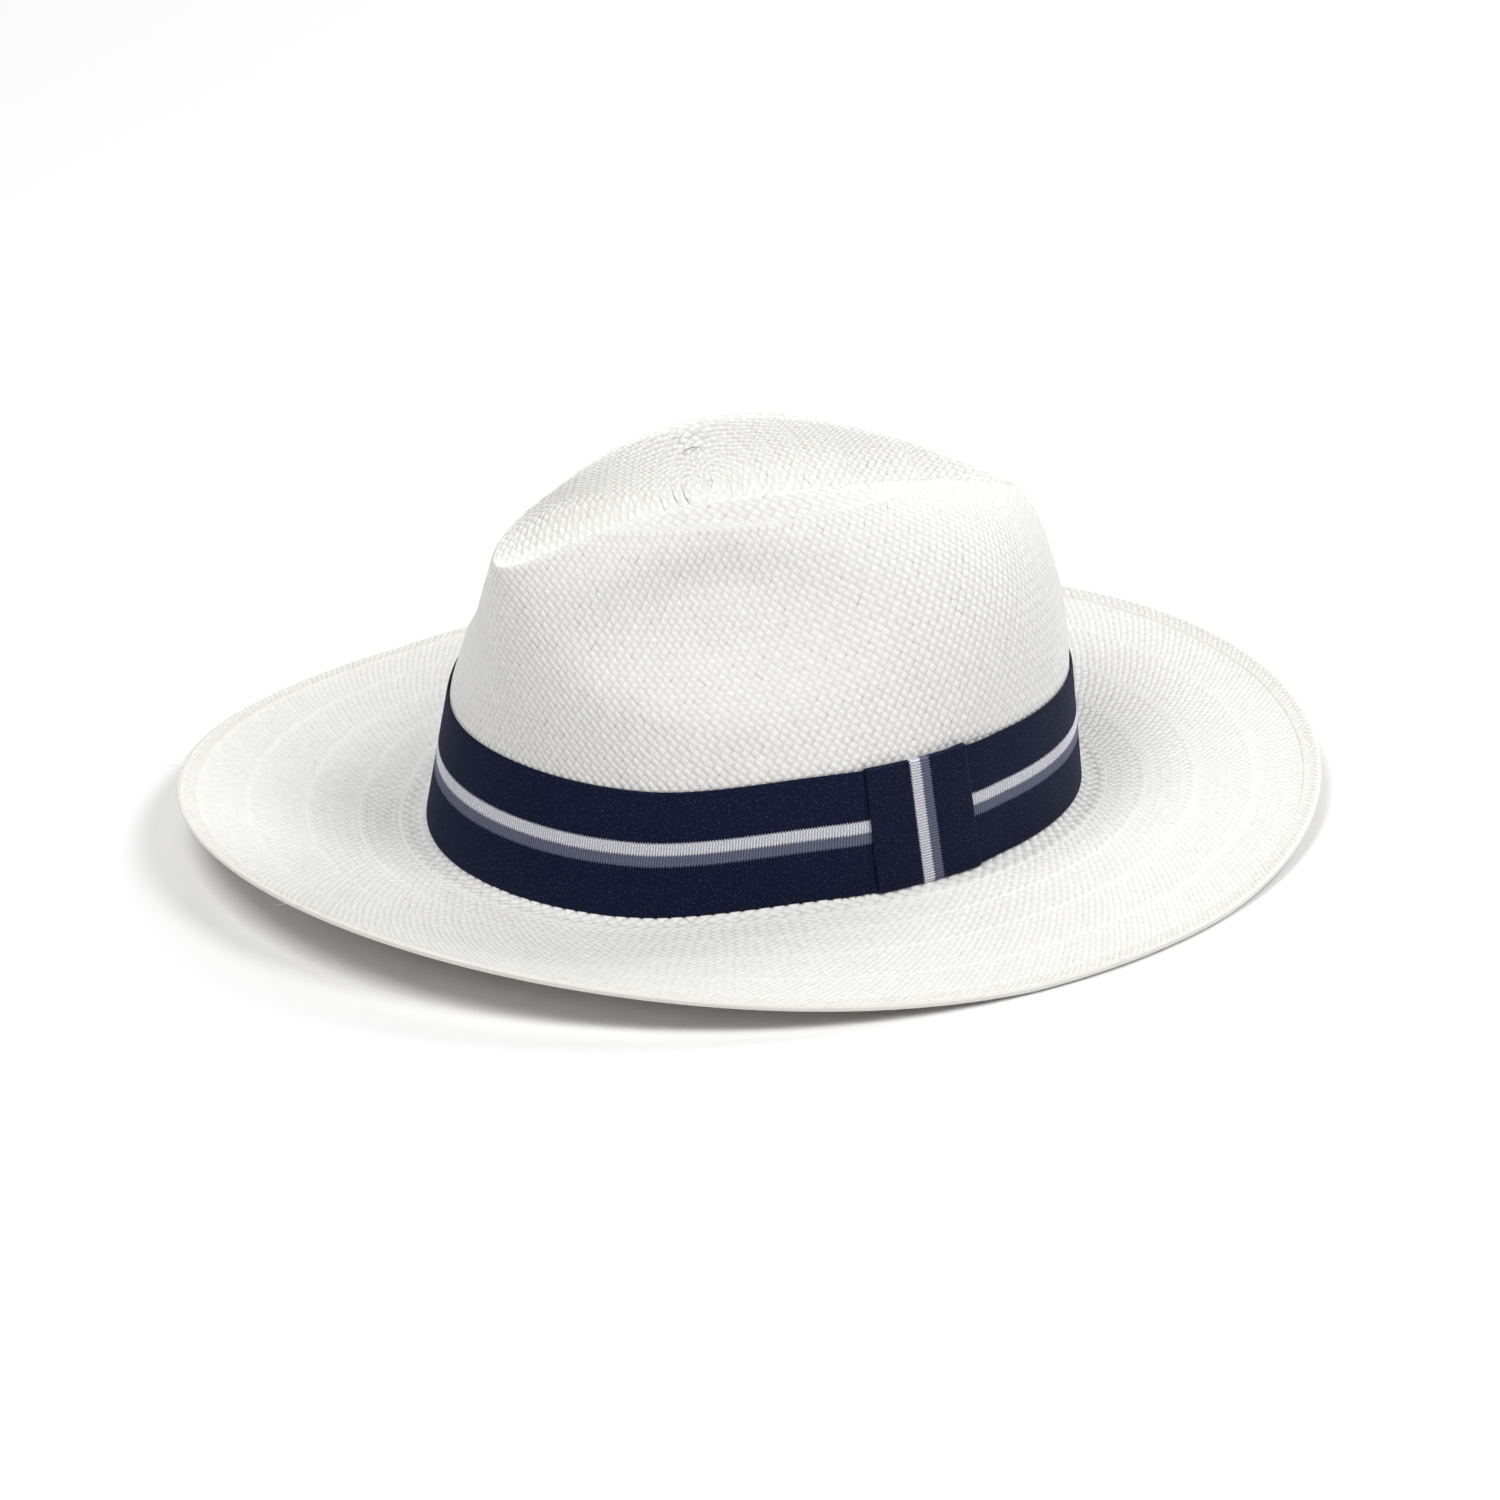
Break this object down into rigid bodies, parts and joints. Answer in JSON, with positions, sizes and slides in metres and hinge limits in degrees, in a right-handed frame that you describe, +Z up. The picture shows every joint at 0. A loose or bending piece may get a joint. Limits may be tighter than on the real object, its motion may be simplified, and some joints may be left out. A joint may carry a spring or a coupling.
{
  "type": "fedora hat",
  "caption": "White woven straw fedora with a teardrop centre dent, side pinches, a gently turned-up brim with a back-woven edge, and a striped navy ribbon with a keeper.",
  "frame": {"origin": "on the table under the middle of the hat, at the bottom centre of its box", "axes": "+Z up; -Y towards the front of the hat; +X towards the wearer's left"},
  "size_m": [0.3198, 0.3528, 0.1138],
  "materials": {
    "straw": "bleached woven straw, satin",
    "straw_edge": "bleached straw, doubled and back-woven, satin",
    "ribbon": "navy grosgrain with one white and one grey-blue stripe, matt",
    "leather": "thin smooth leather, satin",
    "cotton": "off-white cotton, matt"
  },
  "bodies": {
    "root": {"crown_tip": "straw", "crown_side": "straw", "crown_foot": "straw", "brim": "straw", "brim_edge": "straw_edge", "ribbon_band": "ribbon", "ribbon_keeper": "ribbon", "sweatband": "leather", "sweatband_piping": "leather", "sweatband_tape": "cotton", "sweatband_bow": "cotton", "sweatband_thread": "cotton", "size_tab": "cotton"}
  },
  "joints": []
}
